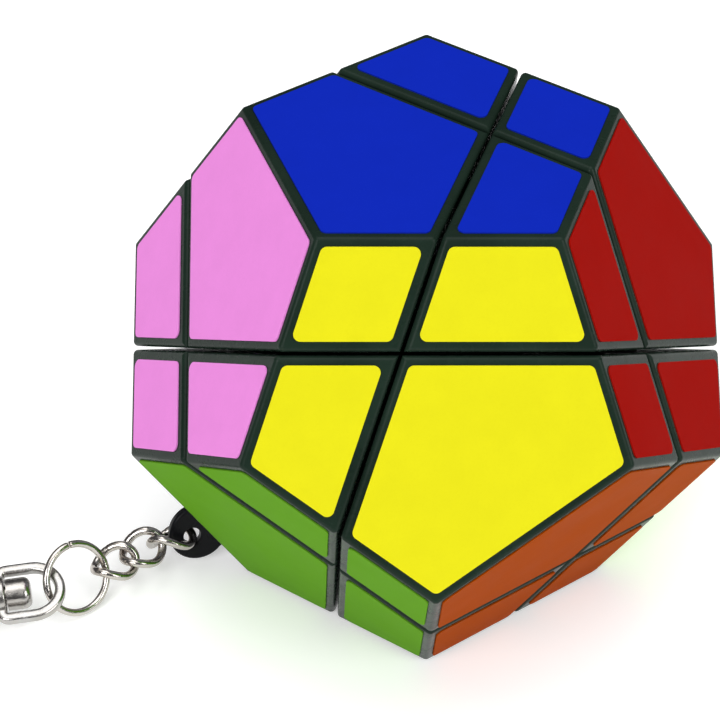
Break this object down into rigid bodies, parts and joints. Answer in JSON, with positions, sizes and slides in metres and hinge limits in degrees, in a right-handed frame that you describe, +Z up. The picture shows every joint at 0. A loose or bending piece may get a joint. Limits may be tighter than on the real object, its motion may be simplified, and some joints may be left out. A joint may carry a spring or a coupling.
{
  "type": "dodecahedron twisty puzzle",
  "caption": "Small twelve-sided twisty puzzle with coloured stickers on black plastic, and a short curb chain with a swivel trigger clasp.",
  "frame": {"origin": "middle of the face that the puzzle rests on, at the outside of its stickers", "axes": "+Z up through the opposite, top face; -Y towards the face that is tilted up at the front; the chain runs out to -X"},
  "size_m": [0.0856, 0.0552, 0.045],
  "materials": {
    "black_plastic": "glossy moulded",
    "inner_plastic": "matt moulded",
    "plated_casting": "polished nickel plate",
    "plated_wire": "polished nickel plate",
    "steel_fasteners": "bright",
    "sticker_blue": "glossy vinyl film",
    "sticker_cream": "glossy vinyl film",
    "sticker_cyan": "glossy vinyl film",
    "sticker_green": "glossy vinyl film",
    "sticker_grey": "glossy vinyl film",
    "sticker_lime": "glossy vinyl film",
    "sticker_orange": "glossy vinyl film",
    "sticker_pink": "glossy vinyl film",
    "sticker_purple": "glossy vinyl film",
    "sticker_red": "glossy vinyl film",
    "sticker_white": "glossy vinyl film",
    "sticker_yellow": "glossy vinyl film"
  },
  "bodies": {
    "core_and_lower_half": {"axle_corner_base_1": "inner_plastic", "axle_corner_base_3": "inner_plastic", "axle_corner_base_4": "inner_plastic", "axle_corner_cap_1": "black_plastic", "axle_corner_cap_3": "black_plastic", "axle_corner_cap_4": "black_plastic", "axle_screws": "steel_fasteners", "axle_springs": "steel_fasteners", "axle_washers": "steel_fasteners", "core": "inner_plastic", "edge_feet_lower": "inner_plastic", "edge_shell_2": "black_plastic", "edge_shell_3": "black_plastic", "edge_shell_5": "black_plastic", "free_corner_foot_2": "inner_plastic", "free_corner_shell_2": "black_plastic", "lug": "black_plastic", "stickers_green_lower": "sticker_green", "stickers_grey_lower": "sticker_grey", "stickers_lime_lower": "sticker_lime", "stickers_orange_lower": "sticker_orange", "stickers_pink_lower": "sticker_pink", "stickers_purple_lower": "sticker_purple", "stickers_red_lower": "sticker_red", "stickers_white_lower": "sticker_white", "stickers_yellow_lower": "sticker_yellow"},
    "turning_half": {"axle_corner_base_2": "inner_plastic", "axle_corner_cap_2": "black_plastic", "edge_feet_upper": "inner_plastic", "edge_shell_1": "black_plastic", "edge_shell_4": "black_plastic", "edge_shell_6": "black_plastic", "free_corner_foot_1": "inner_plastic", "free_corner_foot_3": "inner_plastic", "free_corner_foot_4": "inner_plastic", "free_corner_shell_1": "black_plastic", "free_corner_shell_3": "black_plastic", "free_corner_shell_4": "black_plastic", "stickers_blue_upper": "sticker_blue", "stickers_cream_upper": "sticker_cream", "stickers_cyan_upper": "sticker_cyan", "stickers_grey_upper": "sticker_grey", "stickers_lime_upper": "sticker_lime", "stickers_pink_upper": "sticker_pink", "stickers_purple_upper": "sticker_purple", "stickers_red_upper": "sticker_red", "stickers_yellow_upper": "sticker_yellow"},
    "link_1": {"chain_link_1": "plated_wire"},
    "link_2": {"chain_link_2": "plated_wire"},
    "link_3": {"chain_link_3": "plated_wire"},
    "ring": {"jump_ring": "plated_wire"},
    "eye": {"swivel_eye": "plated_casting"},
    "clasp": {"swivel_rivet": "plated_casting", "clasp_body": "plated_casting", "lever_pin": "steel_fasteners"},
    "lever": {"clasp_lever": "plated_casting", "lever_spring": "steel_fasteners"}
  },
  "joints": [
    {"name": "half_turn", "type": "hinge", "parent": "core_and_lower_half", "child": "turning_half", "pos_m": [0, 0, 0.0225], "axis": [0, 0.6071, 0.7947], "continuous": true},
    {"name": "link_1_swing", "type": "hinge", "parent": "core_and_lower_half", "child": "link_1", "pos_m": [-0.0214, -0.00373, 0.00333], "axis": [-0.2981, 0.9242, -0.2385], "range_deg": [0, 10]},
    {"name": "link_2_swing", "type": "hinge", "parent": "link_1", "child": "link_2", "pos_m": [-0.02464, -0.0049, 0.0035], "axis": [0.0464, 0.0169, 0.9988], "range_deg": [-10, 10]},
    {"name": "link_3_swing", "type": "hinge", "parent": "link_2", "child": "link_3", "pos_m": [-0.02701, -0.00662, 0.0031], "axis": [-0.1097, -0.0797, 0.9908], "range_deg": [-10, 10]},
    {"name": "ring_swing", "type": "hinge", "parent": "link_3", "child": "ring", "pos_m": [-0.02961, -0.00801, 0.003], "axis": [-0.0299, -0.0159, 0.9994], "range_deg": [-10, 10]},
    {"name": "eye_swing", "type": "hinge", "parent": "ring", "child": "eye", "pos_m": [-0.03419, -0.01146, 0.00364], "axis": [-0.0692, -0.0085, 0.9976], "range_deg": [-15, 15]},
    {"name": "clasp_swivel", "type": "hinge", "parent": "eye", "child": "clasp", "pos_m": [-0.0384, -0.01198, 0.00334], "axis": [-0.9901, -0.1216, -0.0698], "continuous": true},
    {"name": "lever_open", "type": "hinge", "parent": "clasp", "child": "lever", "pos_m": [-0.04611, -0.0098, 0.00282], "axis": [-0.0692, -0.0085, 0.9976], "range_deg": [0, 22], "stiffness_Nm_per_rad": 0.02, "springref_deg": -11.46}
  ]
}
